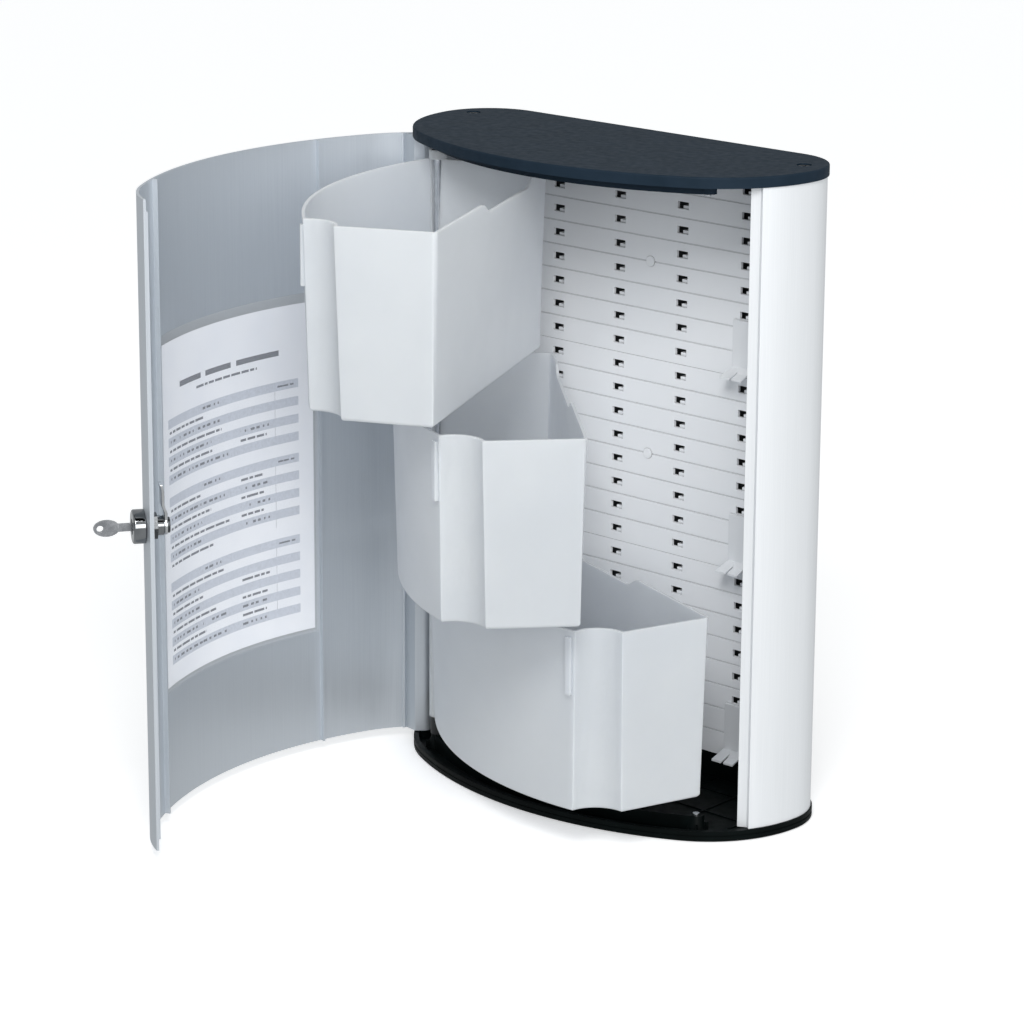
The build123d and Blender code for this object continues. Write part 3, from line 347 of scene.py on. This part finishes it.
def dress(node, slot):
    """Gives a CAD node its material and smooth shading."""
    piece = frame["nodes"][node]
    piece.data.materials.clear()
    piece.data.materials.append(looks[slot].material)
    join_corners(piece)
    if node in DRUMS:
        soften(piece, BEVELS[node], segments=3, angle=DRUM_ANGLE)
    elif node in BEVELS:
        soften(piece, BEVELS[node])
    elif node.endswith("_tray"):
        soften(piece, TRAY_BEVEL)
    elif node.startswith("tray_catch"):
        soften(piece, CATCH_BEVEL)
    else:
        soften(piece, HAIR_BEVEL, segments=1)
    even_normals(piece)


for part in frame["record"]["subparts"]:
    dress(part["node"], part["material_slot"])


# The sheet in the door's pocket

PAPER_LEFT = POCKET_MIDDLE - SHEET_WIDTH / 2
PAPER_RIGHT = POCKET_MIDDLE + SHEET_WIDTH / 2
PAPER_TOP = SHEET_BOTTOM + SHEET_HEIGHT
PAPER_COLUMNS = 48
PAPER_ROWS = 40
WAVE_HEIGHT = 0.00008
WAVE_ACROSS = 9.0
WAVE_SLANT = 2.0
WAVE_UP = 5.0
WAVE_START = 1.0


def door_point(arc, depth, z):
    """A point on the open door's inside: arc length from the middle, depth behind the skin, height."""
    radius = FRONT_RADIUS - DOOR_SKIN_DEPTH - depth
    angle = arc / radius
    x = FRONT_CENTRE.x + radius * math.sin(angle) - DOOR_PIN.x
    y = FRONT_CENTRE.y - radius * math.cos(angle) - DOOR_PIN.y
    turn_x = x * math.cos(DOOR_OPEN) + y * math.sin(DOOR_OPEN)
    turn_y = -x * math.sin(DOOR_OPEN) + y * math.cos(DOOR_OPEN)
    return Vector((DOOR_PIN.x + turn_x, DOOR_PIN.y + turn_y, z))


def new_piece(name, mesh_builder, look):
    """A mesh object from a bmesh, with its material and smooth shading."""
    mesh = bpy.data.meshes.new(name)
    mesh_builder.to_mesh(mesh)
    mesh_builder.free()
    mesh.materials.append(look.material)
    mesh.shade_smooth()
    mesh.set_sharp_from_angle(angle=SMOOTH_ANGLE)
    piece = bpy.data.objects.new(name, mesh)
    bpy.context.scene.collection.objects.link(piece)
    return piece


def slab_layer(builder, depth):
    """One side of the sheet, as rows of vertices from its lower edge up."""
    grid = []
    for row in range(PAPER_ROWS + 1):
        up = row / PAPER_ROWS
        line = []
        for column in range(PAPER_COLUMNS + 1):
            across = column / PAPER_COLUMNS
            arc = PAPER_LEFT + (PAPER_RIGHT - PAPER_LEFT) * across
            z = SHEET_BOTTOM + (PAPER_TOP - SHEET_BOTTOM) * up
            line.append(builder.verts.new(door_point(arc, depth + paper_wave(across, up), z)))
        grid.append(line)
    return grid


def add_sheet(builder):
    """The sheet as a closed curved slab on the door's inside."""
    outer = slab_layer(builder, SHEET_DEPTH - SHEET_THICKNESS / 2)
    inner = slab_layer(builder, SHEET_DEPTH + SHEET_THICKNESS / 2)
    for row in range(PAPER_ROWS):
        for column in range(PAPER_COLUMNS):
            for grid, flip in ((outer, False), (inner, True)):
                corners = [
                    grid[row][column],
                    grid[row][column + 1],
                    grid[row + 1][column + 1],
                    grid[row + 1][column],
                ]
                builder.faces.new(reversed(corners) if flip else corners)
    rim_outer = border(outer)
    rim_inner = border(inner)
    count = len(rim_outer)
    for k in range(count):
        following = (k + 1) % count
        builder.faces.new([rim_outer[following], rim_outer[k], rim_inner[k], rim_inner[following]])


def border(grid):
    """The vertices round the edge of a grid, in order."""
    bottom = grid[0]
    top = grid[-1]
    right = [line[-1] for line in grid[1:-1]]
    left = [line[0] for line in grid[1:-1]]
    return bottom + right + top[::-1] + left[::-1]


def paper_wave(across, up):
    """The sheet's slight waviness in its pocket."""
    sideways = math.sin(WAVE_ACROSS * across + WAVE_SLANT * up)
    upwards = math.sin(WAVE_UP * up + WAVE_START)
    return WAVE_HEIGHT * sideways * upwards


builder = bmesh.new()
add_sheet(builder)
sheet = new_piece("contents_sheet_paper", builder, looks["sheet_paper"])
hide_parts("contents_sheet")
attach(sheet, "door")

# Generic table rows on the sheet, distances from its top and its free-edge side
TABLE_STARTS = (0.0468, 0.0943, 0.1467)
TABLE_ROWS = (6, 7, 8)
ROW_PITCH = 0.00565
TABLE_LEFT = 0.009
TABLE_RIGHT = 0.137
COLUMN_LINE = 0.1185
COLUMN_LINE_WIDTH = 0.0002
COUNT_INSET = 0.002
COUNT_END_INSET = 0.005
WORDS_INSET = 0.0065
WORDS_END = (0.045, 0.078)
SECOND_COLUMN = 0.089
SECOND_END = (0.106, 0.115)
SECOND_SHARE = 0.6
TITLE_MARKS = ((0.052, 0.061), (0.0625, 0.073))
COLUMN_TITLE = (0.1205, 0.134)
COLUMN_TITLE_DROP = 0.0004
PRINT_LIFT = 0.00003
PRINT_DEPTH = SHEET_DEPTH + SHEET_THICKNESS / 2 + PRINT_LIFT
PRINT_STEP = 0.004
MARK_HEIGHT = 0.0015
MARK_LENGTH = (0.003, 0.010)
MARK_GAP = 0.0012
HEADING_MARKS = ((0.026, 0.051), (0.056, 0.081), (0.086, 0.122))
HEADING_TOP = 0.027
HEADING_HEIGHT = 0.0034
SUBHEADING_ENDS = (0.046, 0.104)
SUBHEADING_TOP = 0.0345
SHUFFLE_SEED = 4


def add_print(builder, left, right, top, bottom):
    """A printed patch; left counts from the sheet's free-edge side, top from its upper edge."""
    columns = max(1, round((right - left) / PRINT_STEP))

    def wave(across, up):
        """The sheet's waviness under the patch."""
        place = left + (right - left) * across
        height = (PAPER_TOP - bottom + (bottom - top) * up - SHEET_BOTTOM) / SHEET_HEIGHT
        return paper_wave(1.0 - place / SHEET_WIDTH, height)

    grid = []
    for z_place, up in ((bottom, 0.0), (top, 1.0)):
        line = []
        for column in range(columns + 1):
            across = column / columns
            place = left + (right - left) * across
            point = door_point(PAPER_RIGHT - place, PRINT_DEPTH + wave(across, up), PAPER_TOP - z_place)
            line.append(builder.verts.new(point))
        grid.append(line)
    for column in range(columns):
        builder.faces.new([grid[0][column], grid[1][column], grid[1][column + 1], grid[0][column + 1]])


def add_words(builder, start, stop, top, shuffle):
    """A broken line of short marks, standing for a line of print."""
    place = start
    while place < stop:
        length = shuffle.uniform(*MARK_LENGTH)
        end = min(place + length, stop)
        add_print(builder, place, end, top, top + MARK_HEIGHT)
        place = end + MARK_GAP


shuffle = random.Random(SHUFFLE_SEED)
bands = bmesh.new()
marks = bmesh.new()
for start, rows in zip(TABLE_STARTS, TABLE_ROWS):
    add_print(bands, TABLE_LEFT, TABLE_RIGHT, start, start + ROW_PITCH)
    title = start + (ROW_PITCH - MARK_HEIGHT) / 2
    for left, right in TITLE_MARKS:
        add_print(marks, left, right, title, title + MARK_HEIGHT)
    add_print(marks, *COLUMN_TITLE, title + COLUMN_TITLE_DROP, title + MARK_HEIGHT)
    for row in range(1, rows + 1):
        top = start + row * ROW_PITCH
        if row % 2 == 0:
            add_print(bands, TABLE_LEFT, TABLE_RIGHT, top, top + ROW_PITCH)
        line_top = top + (ROW_PITCH - MARK_HEIGHT) / 2
        count_start = TABLE_LEFT + COUNT_INSET
        add_print(marks, count_start, TABLE_LEFT + COUNT_END_INSET, line_top, line_top + MARK_HEIGHT)
        add_words(marks, TABLE_LEFT + WORDS_INSET, shuffle.uniform(*WORDS_END), line_top, shuffle)
        if shuffle.random() < SECOND_SHARE:
            add_words(marks, SECOND_COLUMN, shuffle.uniform(*SECOND_END), line_top, shuffle)
    table_end = start + (rows + 1) * ROW_PITCH
    add_print(marks, COLUMN_LINE, COLUMN_LINE + COLUMN_LINE_WIDTH, start, table_end)

# A plain heading of three long marks with a finer line under it
for left, right in HEADING_MARKS:
    add_print(marks, left, right, HEADING_TOP, HEADING_TOP + HEADING_HEIGHT)
add_words(marks, *SUBHEADING_ENDS, SUBHEADING_TOP, shuffle)

for name, mesh_builder, look in (("sheet_rows", bands, print_grey), ("sheet_marks", marks, print_dark)):
    piece = new_piece(name, mesh_builder, look)
    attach(piece, "door")


# Floor, lights and camera

FLOOR_HALF_SIZE = 40.0
FLOOR_GAP = 0.0003
CARD_ABOVE = [(-1.5, -1.2, 1.9), (1.5, -1.2, 1.9), (1.5, -0.5, 2.2), (-1.5, -0.5, 2.2)]
CARD_LEFT = [(-1.6, -1.8, 0.1), (-0.9, -2.2, 0.1), (-0.9, -2.2, 1.3), (-1.6, -1.8, 1.3)]


def studio_plane(name, corners, look):
    """A four-cornered plane without highlights, which throws no light on other things."""
    look.set("Specular IOR Level", 0.0)
    mesh = bpy.data.meshes.new(name)
    mesh.from_pydata(corners, [], [(0, 1, 2, 3)])
    mesh.materials.append(look.material)
    plane = bpy.data.objects.new(name, mesh)
    bpy.context.scene.collection.objects.link(plane)
    plane.visible_diffuse = False
    return plane


def floor():
    """A plain pale floor under the cabinet."""
    size = FLOOR_HALF_SIZE
    level = FLOOR_LEVEL - FLOOR_GAP
    corners = [(-size, -size, level), (size, -size, level), (size, size, level), (-size, size, level)]
    look = Look("floor_pale", (0.93, 0.93, 0.93), roughness=0.9)
    look.glow(WHITE, strength=0.36)
    plane = studio_plane("floor", corners, look)
    plane.visible_glossy = False


def dark_card(name, corners):
    """A black card at the side of the studio, which only reflections show."""
    look = Look(name + "_black", (0.004, 0.005, 0.005), roughness=0.8)
    card = studio_plane(name, corners, look)
    card.visible_camera = False
    card.visible_shadow = False
    card.visible_transmission = False


def place_lamp(name, data, place, target):
    """Stands a light at its place, turned towards its target."""
    lamp = bpy.data.objects.new(name, data)
    lamp.location = place
    direction = Vector(target) - Vector(place)
    lamp.rotation_euler = direction.to_track_quat("-Z", "Y").to_euler()
    bpy.context.scene.collection.objects.link(lamp)


def area_light(name, place, target, size, power):
    """A soft box above the cabinet, so that the light falls off downwards."""
    data = bpy.data.lights.new(name, "AREA")
    data.size = size
    data.energy = power
    place_lamp(name, data, place, target)


def sun_light(name, place, target, spread, strength):
    """A broad even light from one side, with soft shadows."""
    data = bpy.data.lights.new(name, "SUN")
    data.energy = strength
    data.angle = math.radians(spread)
    place_lamp(name, data, place, target)


def world_light(colour, strength):
    """Even light from all round."""
    world = bpy.data.worlds.new("studio")
    world.use_nodes = True
    background = world.node_tree.nodes["Background"]
    background.inputs["Color"].default_value = (*colour, 1.0)
    background.inputs["Strength"].default_value = strength
    bpy.context.scene.world = world


def camera():
    """The camera, from its place, angles and focal length in pixels."""
    level = math.cos(CAMERA_ELEVATION)
    back = Vector(
        (
            math.sin(CAMERA_AZIMUTH) * level,
            -math.cos(CAMERA_AZIMUTH) * level,
            math.sin(CAMERA_ELEVATION),
        )
    )
    across = (-back).cross(Vector((0.0, 0.0, 1.0))).normalized()
    upward = across.cross(-back)
    right = across * math.cos(CAMERA_ROLL) + upward * math.sin(CAMERA_ROLL)
    up = upward * math.cos(CAMERA_ROLL) - across * math.sin(CAMERA_ROLL)
    data = bpy.data.cameras.new("camera")
    data.sensor_width = SENSOR
    data.lens = FOCAL_PIXELS / FRAME_PIXELS * SENSOR
    data.shift_y = SHIFT_PIXELS / FRAME_PIXELS
    data.clip_start = CLIP_NEAR
    data.clip_end = CLIP_FAR
    lens = bpy.data.objects.new("camera", data)
    turn = Matrix((right, up, back)).transposed()
    lens.matrix_world = Matrix.Translation(CAMERA_PLACE) @ turn.to_4x4()
    bpy.context.scene.collection.objects.link(lens)
    bpy.context.scene.camera = lens


floor()
dark_card("card_above", CARD_ABOVE)
dark_card("card_left", CARD_LEFT)
world_light(colour=(0.96, 0.985, 1.0), strength=0.55)
area_light("key_light", place=(0.62, -0.95, 0.95), target=(0.0, -0.05, 0.12), size=0.45, power=9.0)
sun_light("fill_light", place=(1.5, -1.3, 0.6), target=(0.0, -0.05, 0.0), spread=34.0, strength=0.95)
sun_light("side_light", place=(1.9, -0.45, 0.5), target=(0.0, -0.1, 0.0), spread=40.0, strength=0.5)
camera()
bpy.context.scene.view_settings.view_transform = "Standard"
